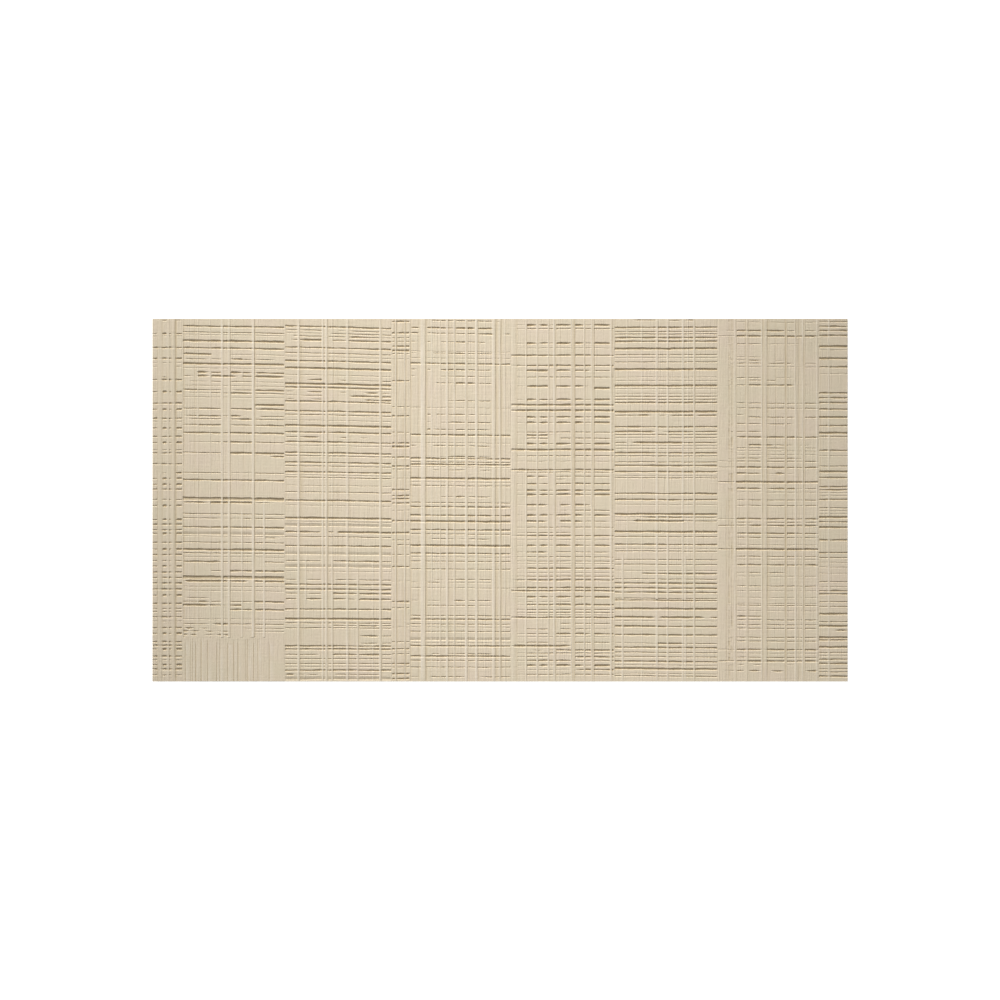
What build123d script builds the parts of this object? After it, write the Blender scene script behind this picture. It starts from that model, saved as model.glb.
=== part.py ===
from build123d import *
import itertools
import os
from typing import NamedTuple

# Flexible stone wall panel: one moulded sheet that lies on its back, face up.
# Millimetres. The origin is the middle of the back. X runs along the sheet, Y across it, Z out of its face.

# The sheet
PANEL_LENGTH = 1150.0
PANEL_WIDTH = 600.0
BODY_THICKNESS = 4.2  # from the back to the plain face between the grooves

# Raised cords, which run across the sheet and break the grooves into dashes
CORD_RISE = 0.3  # above the plain face
CORD_BEVEL = 0.7  # width of a cord's sloping side
NARROW_CORD = 4.0
BROAD_CORD = 10.0

# Deep grooves, which run along the sheet: a steep wall towards the top edge, a gentle one below it
GROOVE_DEPTH = 1.5
GROOVE_STEEP_RUN = 1.0
GROOVE_GENTLE_RUN = 2.2

# Shallow combed strokes across the sheet, in the patch that has no grooves
STROKE_DEPTH = 0.8
STROKE_WIDTH = 2.2

SEAM_LAND = 1.6  # plain land between the groove ends of two bands
EDGE_LAND = 1.0  # least land between a groove and the sheet's top or bottom edge
CUT_OVERRUN = 1.0  # how far a cutter reaches past the face or the sheet's edge

# The weave's draft. Its numbers count steps: places along the sheet from a band's left edge,
# places across it from the sheet's top edge. The draft repeats on a larger sheet.
DRAFT_STEP = 1.0
DRAFT_REPEAT = 600  # steps across the sheet until the draft starts again


class Band(NamedTuple):
    """One band of the weave, as wide as its own set of grooves."""

    width: int
    fall: float  # steps by which the grooves drop from the band's left edge to its right edge
    narrow_cords: tuple  # middles of the cords
    broad_cords: tuple
    grooves: tuple  # places of the grooves at the band's left edge
    strokes: tuple = ()  # places of the combed strokes
    combed_from: int = DRAFT_REPEAT  # where the combed patch starts


BANDS = (
    Band(
        width=50,
        fall=0.0,
        narrow_cords=(11, 28, 37),
        broad_cords=(),
        grooves=(25, 48, 101, 121, 140, 150, 206, 240, 265, 310, 349, 381, 409, 447, 493, 540, 547, 572),
    ),
    Band(
        width=169,
        fall=2.5,
        narrow_cords=(66, 77, 117),
        broad_cords=(),
        grooves=(12, 36, 48, 74, 117, 148, 188, 221, 266, 297, 322, 344, 381, 427, 433, 467),
        strokes=(5, 17, 22, 31, 42, 57, 62, 75, 92, 105, 118, 125, 144),
        combed_from=523,
    ),
    Band(
        width=177,
        fall=3.0,
        narrow_cords=(22, 105, 158),
        broad_cords=(67,),
        grooves=(
            *(12, 35, 47, 70, 82, 107, 136, 152, 175, 186, 203, 221, 253, 299, 329, 352, 375, 387),
            *(439, 447, 480, 495, 540, 580),
        ),
    ),
    Band(
        width=30,
        fall=0.0,
        narrow_cords=(7, 23),
        broad_cords=(),
        grooves=(25, 53, 103, 161, 212, 244, 283, 293, 334, 355, 410, 546, 570, 595),
    ),
    Band(
        width=167,
        fall=0.5,
        narrow_cords=(50, 62, 75, 94, 111, 138, 152),
        broad_cords=(21,),
        grooves=(16, 24, 75, 106, 193, 241, 264, 326, 336, 349, 375, 388, 497, 541, 558, 577),
    ),
    Band(
        width=171,
        fall=0.0,
        narrow_cords=(44, 62, 73, 122),
        broad_cords=(5, 102, 135),
        grooves=(11, 61, 112, 143, 152, 172, 217, 249, 291, 325, 375, 413, 450, 494, 541, 565, 573),
    ),
    Band(
        width=171,
        fall=0.5,
        narrow_cords=(22, 71, 90, 114, 133),
        broad_cords=(),
        grooves=(
            *(32, 50, 84, 111, 154, 179, 205, 222, 254, 289, 299, 323, 352, 373),
            *(445, 465, 479, 493, 542, 578),
        ),
    ),
    Band(
        width=167,
        fall=0.5,
        narrow_cords=(30, 48, 112, 128, 142),
        broad_cords=(8, 77),
        grooves=(29, 110, 197, 246, 270, 281, 300, 331, 381, 408, 450, 506, 547, 567),
    ),
    Band(
        width=48,
        fall=0.0,
        narrow_cords=(17,),
        broad_cords=(),
        grooves=(28, 46, 66, 80, 139, 163, 189, 253, 263, 299, 328, 345, 366, 451, 488, 508, 543, 570),
    ),
)


def placed_bands():
    """Each band that the sheet has room for, with the distance of its left edge from the sheet's."""
    left = 0.0
    for band in itertools.cycle(BANDS):
        if left >= PANEL_LENGTH:
            return
        yield band, left
        left += band.width * DRAFT_STEP


def places_across(steps):
    """The distances from the sheet's top edge of draft places, with their repeats."""
    for start in itertools.count(0, DRAFT_REPEAT):
        if start * DRAFT_STEP >= PANEL_WIDTH:
            return
        for step in steps:
            yield (start + step) * DRAFT_STEP


def cord_spans(band, left):
    """The (start, end) of each cord of a band that lies whole on the sheet, from left to right."""
    middles = [(middle, NARROW_CORD) for middle in band.narrow_cords]
    middles += [(middle, BROAD_CORD) for middle in band.broad_cords]
    spans = []
    for middle, width in sorted(middles):
        start = left + middle * DRAFT_STEP - width / 2
        if start > 0 and start + width < PANEL_LENGTH:
            spans.append((start, start + width))
    return spans


def dash_spans(band, left):
    """The (start, end) of each stretch of a band between its seams and cords, on the sheet."""
    right = left + band.width * DRAFT_STEP
    starts = [left + SEAM_LAND / 2]
    ends = []
    for cord_start, cord_end in cord_spans(band, left):
        ends.append(cord_start)
        starts.append(cord_end)
    ends.append(right - SEAM_LAND / 2)
    if left == 0:
        starts[0] = -CUT_OVERRUN
    if right >= PANEL_LENGTH:
        ends[-1] = PANEL_LENGTH + CUT_OVERRUN
    return [(start, end) for start, end in zip(starts, ends) if start < end]


def at_sheet(along, across, height):
    """The point at distances from the sheet's left and top edges, at a height above its back."""
    return Vector(along - PANEL_LENGTH / 2, PANEL_WIDTH / 2 - across, height)


def make_cord(start, end):
    """A raised cord over the whole width of the sheet."""
    foot = end - start
    crown = foot - 2 * CORD_BEVEL
    root = at_sheet((start + end) / 2, PANEL_WIDTH, BODY_THICKNESS)
    section = Polygon((-foot / 2, 0), (foot / 2, 0), (crown / 2, CORD_RISE), (-crown / 2, CORD_RISE), align=None)
    return extrude(Plane(root, x_dir=(1, 0, 0), z_dir=(0, -1, 0)) * section, amount=-PANEL_WIDTH)


def make_groove_cutter(band, left, across, start, end):
    """The cutter of one dash of a groove, which follows the band's fall."""
    slope = band.fall / band.width
    lip = at_sheet(start, across + slope * (start - left), BODY_THICKNESS)
    section = Polygon(
        (GROOVE_STEEP_RUN, CUT_OVERRUN),
        (GROOVE_STEEP_RUN, 0),
        (0, -GROOVE_DEPTH),
        (-GROOVE_GENTLE_RUN, 0),
        (-GROOVE_GENTLE_RUN, CUT_OVERRUN),
        align=None,
    )
    face = (Plane(lip, x_dir=(0, 1, 0), z_dir=(1, 0, 0)) * section).face()
    return Solid.extrude(face, Vector(end - start, -slope * (end - start), 0))


def make_stroke_cutter(along, start, end):
    """The cutter of one combed stroke, from a distance below the top edge to another."""
    root = at_sheet(along, start, BODY_THICKNESS)
    section = Polygon(
        (-STROKE_WIDTH / 2, CUT_OVERRUN),
        (-STROKE_WIDTH / 2, 0),
        (0, -STROKE_DEPTH),
        (STROKE_WIDTH / 2, 0),
        (STROKE_WIDTH / 2, CUT_OVERRUN),
        align=None,
    )
    return extrude(Plane(root, x_dir=(1, 0, 0), z_dir=(0, -1, 0)) * section, amount=end - start)


def band_grooves(band, left):
    """The cutters of all grooves of one band that keep clear of the sheet's top and bottom edges."""
    cutters = []
    highest = EDGE_LAND + GROOVE_STEEP_RUN
    lowest = PANEL_WIDTH - EDGE_LAND - GROOVE_GENTLE_RUN - band.fall * DRAFT_STEP
    for across in places_across(band.grooves):
        if highest <= across <= lowest:
            for start, end in dash_spans(band, left):
                cutters.append(make_groove_cutter(band, left, across, start, end))
    return cutters


def band_strokes(band, left):
    """The cutters of the combed patch of one band, which runs to the end of the draft."""
    cutters = []
    patch_height = (DRAFT_REPEAT - band.combed_from) * DRAFT_STEP
    for start in places_across([band.combed_from]):
        end = start + patch_height
        if end >= PANEL_WIDTH:
            end = PANEL_WIDTH + CUT_OVERRUN
        for stroke in band.strokes:
            along = left + stroke * DRAFT_STEP
            if start < PANEL_WIDTH and along + STROKE_WIDTH < PANEL_LENGTH:
                cutters.append(make_stroke_cutter(along, start, end))
    return cutters


def make_panel():
    """The sheet with its cords fused on and its grooves and strokes cut in."""
    sheet = Box(
        PANEL_LENGTH, PANEL_WIDTH, BODY_THICKNESS, align=(Align.CENTER, Align.CENTER, Align.MIN)
    )
    cords = []
    cutters = []
    for band, left in placed_bands():
        cords += [make_cord(start, end) for start, end in cord_spans(band, left)]
        cutters += band_grooves(band, left) + band_strokes(band, left)
    return (sheet + cords) - cutters


os.makedirs("parts", exist_ok=True)
export_step(make_panel(), "parts/stone_panel.step")
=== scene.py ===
"""A flexible stone wall panel with a woven relief, lying face up on a plain floor."""

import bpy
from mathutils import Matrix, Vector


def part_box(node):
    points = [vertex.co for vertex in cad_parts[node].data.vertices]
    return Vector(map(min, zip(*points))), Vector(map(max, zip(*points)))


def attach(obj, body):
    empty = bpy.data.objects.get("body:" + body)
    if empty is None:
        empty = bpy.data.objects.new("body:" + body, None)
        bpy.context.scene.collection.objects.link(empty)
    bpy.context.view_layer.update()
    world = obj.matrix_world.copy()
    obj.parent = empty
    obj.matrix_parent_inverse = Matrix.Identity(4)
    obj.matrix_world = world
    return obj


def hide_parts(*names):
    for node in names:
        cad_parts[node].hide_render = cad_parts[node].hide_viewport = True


bl_info = {
    "name": "Woven Stone Panel",
    "version": (1, 0, 0),
    "blender": (4, 5, 0),
    "location": "3D View > Sidebar > Stone Panel",
    "description": "Builds a flexible stone wall panel with a woven relief, and the stage that it lies on",
    "category": "Add Mesh",
}

import math
from typing import NamedTuple

import bpy
import numpy as np
from bpy.props import FloatProperty, FloatVectorProperty, IntProperty, PointerProperty
from mathutils import Vector

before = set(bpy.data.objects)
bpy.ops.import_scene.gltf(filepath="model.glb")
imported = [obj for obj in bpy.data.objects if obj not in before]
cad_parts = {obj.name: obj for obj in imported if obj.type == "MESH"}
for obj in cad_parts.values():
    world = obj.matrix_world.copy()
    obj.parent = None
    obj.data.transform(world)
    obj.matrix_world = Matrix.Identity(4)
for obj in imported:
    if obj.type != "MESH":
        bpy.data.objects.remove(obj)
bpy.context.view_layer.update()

MM = 0.001
SHEET_NODE = "stone_panel"
SHEET_LOW, SHEET_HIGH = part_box(SHEET_NODE)
LENGTH_MM = (SHEET_HIGH.x - SHEET_LOW.x) / MM
WIDTH_MM = (SHEET_HIGH.y - SHEET_LOW.y) / MM
THICKNESS_MM = (SHEET_HIGH.z - SHEET_LOW.z) / MM

# Depth of each kind of groove, as a share of a deep one
TRENCH = 1.25
DEEP = 1.0
CLEAR = 0.7
FAINT = 0.38
SOFT = 0.8

TRENCH_FROM = 1.1  # share from which a groove counts as a trench
DEEP_FROM = 0.85  # share from which a groove counts as deep
TRENCH_NERVE = 0.88  # fill of the weakest cord that dents a trench
DEEP_NERVE = 0.3  # fill of the weakest cord that dents a deep groove
STOP_FILL = 0.97  # fill of a cord that dents a groove fully
WIDE_FLOOR = 2.6  # how many times as broad the floor of a wide trench is
FLOOR_SHARES = ((0.8, DEEP, TRENCH), (0.0, 1.0, 1.2))  # depths, and the share of a full floor at each
SOFT_SHADE = 0.7  # painted shade of a soft dip, as a share of a groove's

# Lengths in the relief, in millimetres
RUT_REACH = 2.0  # half the width of a thin upright cut
CORD_SLOPE = 0.9  # width of a cord's sloping side
NARROW_CROWN = 0.8  # a cord whose half crown is narrower has one line of points on it instead of two
SPAN_FADE = 2.5  # length over which a groove fades at the end of a span
UPRIGHT_FADE = 8.0  # length over which a cord or an upright cut fades at its ends
OVERRUN = 3.0  # how far an undashed groove is drafted past its band's sides
CROWN_GAP = 8.0  # distance between two grooves from which the face between them rises fully
GRIT = 0.015  # spread of the random unevenness at each point of the face

# Distance along a line at which its random unevenness turns, in millimetres
SWAY_TURN = 45.0
GROOVE_TURN = 9.0
LOWER_WALL_TURN = 11.0
TEAR_TURN = 6.0
RUT_TURN = 24.0
HIGHLIGHT_TURN = 30.0
STROKE_TURN = 14.0
STROKE_RUT_TURN = 20.0
STROKE_HIGHLIGHT_TURN = 16.0

# Upright strokes of the combed part; places are millimetres below the weave
STROKE_START = (0.6, 9.0)  # first and last place where a stroke may start
STROKE_RUN_IN = 6.0  # length over which it reaches its depth
STROKE_STRAY = 0.4  # how far it strays to each side
STROKE_VIGOUR = (0.7, 1.2)  # least and greatest share of the full depth
COMBED_ROWS = (0.6, 3.0, 8.0, 14.0, 22.0, 32.0, 44.0, 56.0, 68.0, 80.0)  # places of the mesh's rows

# Spacing of the mesh's points, in millimetres
COLUMN_GAP = 0.35  # least distance between two columns
ROW_GAP = 0.08  # least distance between two rows
SPLIT_GAP = 10.0  # distance between two grooves from which a row lies between them
RUT_CLEARANCE = 0.6  # a cord's mark this near to an upright cut is left out
SIDE_CLEARANCE = 0.8  # a cut's own side is left out where a mark lies this near to it
SHOULDER_REACH = 0.4  # farthest that the column of a painted shoulder highlight may lie from the shoulder
BACK_INSET = 6.0
BACK_COLUMNS, BACK_ROWS = 47, 25


# The weave's draft. Places along the sheet are millimetres from its left edge,
# places across it are millimetres from its top edge.

DRAFT_END = 600.0  # place of the sheet's bottom edge


class Cord(NamedTuple):
    """A raised cord across the grooves."""

    middle: float
    width: float
    fill: float = 1.0  # share of a groove's depth that it takes away
    start: float = 0.0
    end: float = DRAFT_END
    rise: float = 1.0  # share of a cord's full height


class Rut(NamedTuple):
    """A thin upright cut; start and end count down from the top edge."""

    place: float
    strength: float = 1.0
    start: float = 0.0
    end: float = DRAFT_END
    dotted: bool = False  # broken into dots


class Band(NamedTuple):
    """One band of the weave, with its own set of grooves."""

    left: float
    right: float
    fall: tuple  # drop of the grooves across the band, at the sheet's top and at its bottom
    cords: tuple
    ruts: tuple  # thin upright cuts
    wide: tuple = ()  # trenches with a broad floor
    trenches: tuple = ()
    through: tuple = ()  # deep grooves that weak cords don't stop
    deep: tuple = ()
    clear: tuple = ()
    faint: tuple = ()
    soft: tuple = ()  # wide shallow dips
    dashed: tuple = ()  # grooves that change along their length: a place, then spans with their shares
    quiet_to: float = 0.0  # end of a strip at its left that undashed grooves leave free
    combed_from: float = DRAFT_END  # where grooves give way to upright strokes
    strokes: tuple = ()


# Bold rows of the leftmost band and of the chequered one: their spans, each with its share, and their places
LEFT_ROW = ((0, 8, TRENCH), (17, 25, TRENCH), (28.5, 31.5, DEEP), (40, 52, TRENCH))
LEFT_ROW_PLACES = (121, 150, 181, 205, 264, 274, 309, 332, 355, 381, 409, 457, 520, 546, 572)
CHECK_ROW = (
    (604, 616, CLEAR), (619, 635, TRENCH), (640, 654, TRENCH), (657, 663, CLEAR), (668, 692, TRENCH),
    (698, 713, TRENCH), (717, 725, TRENCH), (731, 757, TRENCH),
)
CHECK_ROW_PLACES = (11, 41, 134, 163, 172, 207, 284, 291, 325, 375, 460, 573)

BANDS = (
    Band(
        left=0, right=50, fall=(0.0, 0.0),
        cords=(Cord(12.5, 8.5, 0.97, rise=0.4), Cord(26.3, 3.6, 0.96), Cord(35, 7, 0.97, rise=0.8)),
        ruts=(
            Rut(8.6, 0.8), Rut(16.6, 0.6), Rut(24.6, 0.6), Rut(31.6, 0.65), Rut(37.6, 0.8), Rut(39.4, 1.2),
        ),
        through=(48, 140, 240, 447, 493, 540),
        deep=(66, 101, 165, 195, 222, 282, 340, 349, 370, 390, 419, 428, 437, 471, 511, 534, 558, 579),
        clear=(217, 299, 400, 479, 484, 564, 589),
        faint=(29, 73, 170, 500),
        dashed=(
            *((place, *LEFT_ROW) for place in LEFT_ROW_PLACES),
            (3, (16, 24, CLEAR), (40, 48, CLEAR)),
            (25, (0, 8, CLEAR), (16, 24, DEEP), (28, 32, CLEAR), (39, 50, DEEP)),
            (79, (0, 8, FAINT), (40, 48, CLEAR)),
            (97, (16, 24, CLEAR)),
            (255, (16, 24, FAINT), (39, 50, DEEP)),
        ),
    ),
    Band(
        left=50, right=219, fall=(3.0, 1.5),
        cords=(
            Cord(61, 1.6, 0.3), Cord(75.5, 2, 0.5), Cord(96, 2, 0.4), Cord(115.5, 4), Cord(127, 4, 0.92),
            Cord(148.5, 2.5, 0.7, start=315), Cord(167, 4.5), Cord(185, 3.5, 0.9, start=305),
        ),
        ruts=(
            Rut(52.2), Rut(70.6, 0.45), Rut(76.4, 0.35), Rut(97, 0.35), Rut(129.7, 0.6), Rut(151.6, 0.3),
            Rut(169.8, 0.9),
        ),
        wide=(297, 427),
        trenches=(36, 74, 381),
        through=(12, 48, 266),
        deep=(188, 344),
        clear=(22, 322, 369, 387),
        faint=(26, 81, 110, 129, 359, 393, 442, 449, 496),
        soft=(354,),
        dashed=(
            (58, (52, 98, DEEP), (128, 219, FAINT)),
            (66, (55, 92, CLEAR), (98, 114, CLEAR), (130, 150, DEEP), (152, 164, CLEAR), (172, 200, CLEAR)),
            (88, (75, 93, TRENCH), (98, 114, DEEP), (130, 147, TRENCH), (150, 164, DEEP), (172, 219, DEEP)),
            (94, (52, 65, CLEAR), (75, 93, TRENCH), (98, 139, TRENCH), (149, 165, DEEP), (171, 218, TRENCH)),
            (103, (62, 92, FAINT), (98, 114, CLEAR), (130, 165, CLEAR), (172, 219, FAINT)),
            (117, (51, 75, DEEP), (76, 114, CLEAR), (135, 165, CLEAR), (171, 219, DEEP)),
            (122, (60, 95, FAINT), (98, 114, CLEAR), (118, 125, DEEP), (130, 165, DEEP), (171, 219, CLEAR)),
            (141, (170, 219, TRENCH)),
            (148, (51, 75, CLEAR), (77, 114, DEEP), (130, 166, DEEP), (171, 219, DEEP)),
            (160, (55, 74, CLEAR), (77, 114, DEEP), (118, 126, CLEAR), (130, 147, DEEP), (180, 219, CLEAR)),
            (165, (62, 114, CLEAR), (130, 147, CLEAR), (146, 165, DEEP), (171, 219, CLEAR)),
            (175, (51, 75, CLEAR), (77, 114, DEEP), (130, 165, CLEAR), (171, 219, DEEP)),
            (203, (62, 103, FAINT), (104, 126, CLEAR), (129, 166, DEEP), (171, 219, CLEAR)),
            (221, (50, 114, CLEAR), (128, 166, TRENCH), (170, 219, TRENCH)),
            (226, (198, 219, DEEP)),
            (254, (50, 114, CLEAR), (118, 165, FAINT), (170, 219, CLEAR)),
            (303, (52, 88, DEEP), (96, 126, TRENCH), (128, 166, TRENCH), (172, 195, CLEAR)),
            (329, (50, 113, CLEAR), (118, 148, FAINT), (150, 165, CLEAR), (170, 219, CLEAR)),
            (361, (187, 205, DEEP)),
            (401, (51, 113, DEEP), (117, 125, CLEAR), (130, 165, CLEAR), (186, 219, CLEAR)),
            (416, (98, 116, CLEAR), (128, 166, DEEP), (170, 219, DEEP)),
            (
                433,
                (55, 115, TRENCH), (116, 125, TRENCH), (127, 155, DEEP), (168, 184, DEEP), (186, 219, TRENCH),
            ),
            (461, (58, 92, CLEAR)),
            (467, (51, 75, CLEAR), (76, 93, DEEP), (97, 114, CLEAR), (129, 165, CLEAR), (168, 219, DEEP)),
            (473, (50, 93, TRENCH), (95, 114, DEEP), (117, 123, CLEAR), (128, 148, DEEP)),
            (480, (127, 165, DEEP), (170, 219, DEEP)),
            (504, (52, 92, CLEAR), (103, 126, DEEP), (129, 219, CLEAR)),
            (511, (56, 67, TRENCH), (82, 88, CLEAR), (150, 219, FAINT)),
            (516, (51, 60, DEEP), (64, 77, DEEP), (92, 99, DEEP), (112, 128, CLEAR), (170, 219, FAINT)),
            (522, (52, 58, DEEP), (64, 72, DEEP), (92, 99, CLEAR), (111, 117, DEEP), (119, 128, DEEP)),
        ),
        combed_from=527,
        strokes=(55, 64, 67, 72, 81, 92, 107, 112, 125, 135, 142, 155, 158, 168, 175, 194),
    ),
    Band(
        left=219, right=396, fall=(5.2, 0.3),
        cords=(
            Cord(242, 4, 0.92), Cord(254, 2.5, 0.75, start=395, end=470), Cord(282, 3, 0.85),
            Cord(288.5, 4.5), Cord(297.5, 2, 0.4, end=395), Cord(297.5, 3, 0.85, start=395),
            Cord(322.5, 4.5, 0.75), Cord(340, 3.5, 0.9, start=425), Cord(365, 2, 0.5, start=395),
            Cord(377.5, 4.5, 0.97),
        ),
        ruts=(
            Rut(221, 0.5), Rut(235, 0.3), Rut(244.3, 0.75), Rut(278.8, 0.4), Rut(290.8, 0.8),
            Rut(299.8, 0.55), Rut(307.5, 0.4, end=400), Rut(325.8, 0.4), Rut(341.8, 0.6, start=400),
            Rut(367.4, 0.3, start=400), Rut(379.8, 0.75),
        ),
        trenches=(81, 107, 176, 329, 496),
        through=(203, 300),
        deep=(12, 47, 69, 113, 136, 152, 187, 221, 237, 253, 375, 439, 447, 480, 541, 546, 581),
        clear=(56, 158, 226, 243, 262, 286, 360, 503, 511, 562, 570),
        faint=(62, 92, 167, 209, 258, 275, 308, 335, 417, 575),
        soft=(340, 387, 408, 594),
        dashed=(
            (
                18,
                (222, 240, CLEAR), (245, 281, CLEAR), (308, 320, FAINT), (327, 376, CLEAR), (382, 394, FAINT),
            ),
            (23, (221, 281, FAINT), (296, 376, CLEAR), (380, 396, CLEAR)),
            (
                28,
                (234, 281, CLEAR), (291, 320, CLEAR), (326, 352, DEEP), (352, 376, CLEAR), (381, 396, FAINT),
            ),
            (34, (232, 245, CLEAR), (245, 280, TRENCH), (298, 320, DEEP), (325, 396, DEEP)),
            (
                100,
                (224, 233, FAINT), (261, 281, DEEP), (310, 321, CLEAR), (330, 376, FAINT), (380, 396, CLEAR),
            ),
            (
                120,
                (222, 233, CLEAR), (260, 280, DEEP), (310, 320, CLEAR), (352, 373, DEEP), (380, 393, CLEAR),
            ),
            (126, (221, 240, FAINT), (245, 281, CLEAR), (328, 376, DEEP), (380, 396, DEEP)),
            (132, (223, 233, CLEAR), (268, 280, CLEAR), (355, 396, DEEP)),
            (195, (221, 241, CLEAR), (245, 271, DEEP), (312, 321, CLEAR), (345, 353, CLEAR)),
            (352, (220, 278, DEEP), (290, 300, DEEP), (307, 396, TRENCH)),
            (400, (221, 240, CLEAR), (244, 278, CLEAR), (300, 376, DEEP), (380, 396, CLEAR)),
            (431, (221, 238, CLEAR), (256, 279, CLEAR), (305, 337, CLEAR), (342, 396, CLEAR)),
            (454, (221, 252, CLEAR), (257, 279, CLEAR), (299, 338, DEEP), (342, 396, DEEP)),
            (463, (221, 238, DEEP), (255, 280, DEEP), (299, 320, DEEP), (324, 337, CLEAR), (342, 396, DEEP)),
            (507, (299, 320, CLEAR), (323, 338, CLEAR), (342, 374, DEEP), (380, 396, CLEAR)),
            (524, (344, 374, DEEP), (378, 396, CLEAR)),
            (536, (348, 374, CLEAR), (380, 396, CLEAR)),
            (555, (220, 275, CLEAR), (299, 338, DEEP), (342, 376, DEEP), (380, 396, CLEAR)),
            (588, (222, 234, DEEP), (240, 252, CLEAR), (256, 275, CLEAR), (303, 376, CLEAR)),
        ),
    ),
    Band(
        left=396, right=426, fall=(0.0, 0.0),
        cords=(Cord(403, 3.5), Cord(418, 3)),
        ruts=(Rut(400.8, 0.6), Rut(404.8, 1.0), Rut(416.2, 0.5), Rut(419.6, 0.9)),
        trenches=(53, 212, 354),
        through=(283, 298),
        deep=(5, 24, 46, 103, 161, 206, 229, 244, 293, 305, 334, 410, 468, 546, 570, 587, 595),
        clear=(32, 38, 58, 146, 188, 249, 366, 390, 478, 534, 554, 576),
        faint=(67, 264, 317, 434, 510),
        dashed=((374, (404, 426, CLEAR)), (505, (418, 426, CLEAR))),
    ),
    Band(
        left=426, right=593, fall=(2.2, 0.2),
        cords=(
            Cord(448, 8), Cord(462, 2.2, 0.7), Cord(470, 1.8, 0.5), Cord(476.5, 2.5, 0.8),
            Cord(487.5, 4, 0.9), Cord(500, 3, 0.88), Cord(519.5, 4.5), Cord(536, 4, 0.95),
            Cord(550.5, 1.6, 0.45), Cord(564.5, 4.5, 0.9), Cord(575.5, 3.5, 0.93), Cord(583.5, 1.6, 0.5),
        ),
        ruts=(
            Rut(427.8, 1.0), Rut(440.6, 0.5), Rut(452.2, 0.95), Rut(454, 0.75), Rut(461, 0.45, start=330),
            Rut(476.8, 0.65), Rut(489.8, 0.5), Rut(501.6, 0.65), Rut(520.6, 0.65, end=300),
            Rut(522.4, 0.5, start=300), Rut(539.4, 0.8), Rut(560.5, 0.3, start=140), Rut(568.2, 0.9),
            Rut(570, 0.7), Rut(576.2, 0.85), Rut(578, 0.65), Rut(585, 0.5),
        ),
        trenches=(264, 335, 375),
        through=(241, 541, 558),
        deep=(74, 192, 231, 311, 325, 349, 388, 497),
        clear=(237, 276, 304, 356, 401, 414, 491, 505, 517, 565, 576),
        faint=(54, 65, 147, 205, 245, 270, 394, 445, 510, 536),
        soft=(529,),
        dashed=(
            (3, (462, 500, CLEAR), (503, 562, CLEAR), (567, 577, FAINT)),
            (
                15,
                (428, 441, DEEP), (455, 465, DEEP), (467, 498, DEEP), (502, 533, TRENCH), (539, 562, TRENCH),
            ),
            (24, (427, 440, DEEP), (455, 535, CLEAR), (539, 566, DEEP), (583, 593, CLEAR)),
            (
                38,
                (428, 435, CLEAR), (455, 460, CLEAR), (478, 499, CLEAR), (502, 518, DEEP), (522, 550, CLEAR),
            ),
            (57, (428, 435, FAINT), (466, 486, CLEAR), (489, 517, DEEP), (521, 562, CLEAR)),
            (84, (428, 435, CLEAR), (455, 460, CLEAR), (478, 499, DEEP), (502, 518, DEEP), (522, 560, CLEAR)),
            (95, (428, 434, FAINT), (478, 485, CLEAR), (490, 534, CLEAR), (540, 560, FAINT)),
            (106, (470, 498, CLEAR), (502, 534, DEEP), (540, 560, CLEAR)),
            (135, (490, 534, CLEAR), (540, 560, CLEAR)),
            (
                158,
                (455, 460, DEEP), (470, 485, CLEAR), (490, 517, DEEP), (524, 534, CLEAR), (540, 560, FAINT),
            ),
            (171, (455, 460, FAINT), (478, 485, CLEAR), (490, 517, DEEP), (521, 560, CLEAR)),
            (183, (455, 460, DEEP), (466, 498, CLEAR), (502, 517, DEEP), (521, 558, CLEAR)),
            (210, (427, 435, CLEAR), (466, 485, DEEP), (489, 517, CLEAR), (524, 558, CLEAR)),
            (228, (478, 484, CLEAR), (490, 534, DEEP), (540, 558, CLEAR)),
            (250, (466, 472, CLEAR), (490, 517, CLEAR), (545, 558, CLEAR)),
            (294, (428, 434, FAINT), (478, 498, CLEAR), (502, 517, DEEP), (524, 558, CLEAR)),
            (364, (460, 498, CLEAR), (510, 517, CLEAR), (524, 558, CLEAR)),
            (431, (466, 484, FAINT), (490, 534, CLEAR), (540, 560, CLEAR)),
            (436, (427, 440, FAINT), (455, 475, CLEAR), (490, 560, FAINT)),
            (466, (427, 440, FAINT), (455, 475, FAINT), (500, 517, DEEP), (524, 560, CLEAR)),
            (474, (455, 534, CLEAR), (540, 560, FAINT)),
            (554, (463, 475, CLEAR), (490, 560, CLEAR)),
            (592, (427, 440, FAINT), (460, 516, CLEAR), (543, 593, CLEAR)),
        ),
    ),
    Band(
        left=593, right=764, fall=(0.0, 0.3),
        cords=(
            Cord(599, 10, 0.92, rise=0.3), Cord(611, 12, 0.65, rise=0.0), Cord(618.5, 3, 0.93),
            Cord(637, 3.5, 0.95), Cord(655.5, 3, 0.93), Cord(665.5, 5, 0.95), Cord(673.5, 1.8, 0.6),
            Cord(696, 7.5), Cord(715, 3, 0.95), Cord(728, 5), Cord(758.5, 3.5, 0.95),
        ),
        ruts=(
            Rut(603.8, 0.55), Rut(619.4, 0.65), Rut(638.4, 0.65), Rut(656.4, 0.7), Rut(667.8, 0.9),
            Rut(674.4, 0.5), Rut(694.6, 0.75), Rut(698.4, 1.25), Rut(716, 0.95), Rut(727.6, 0.7),
            Rut(731.2, 0.65), Rut(761, 0.5),
        ),
        trenches=(143, 152, 217),
        through=(61, 250, 450, 494),
        deep=(78, 359, 432, 445),
        clear=(17, 97, 188, 227, 254, 345, 394, 401, 426, 481, 486, 553, 588),
        faint=(49, 236, 366, 405, 420, 490, 526),
        dashed=(
            *((place, *CHECK_ROW) for place in CHECK_ROW_PLACES),
            (
                86,
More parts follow.
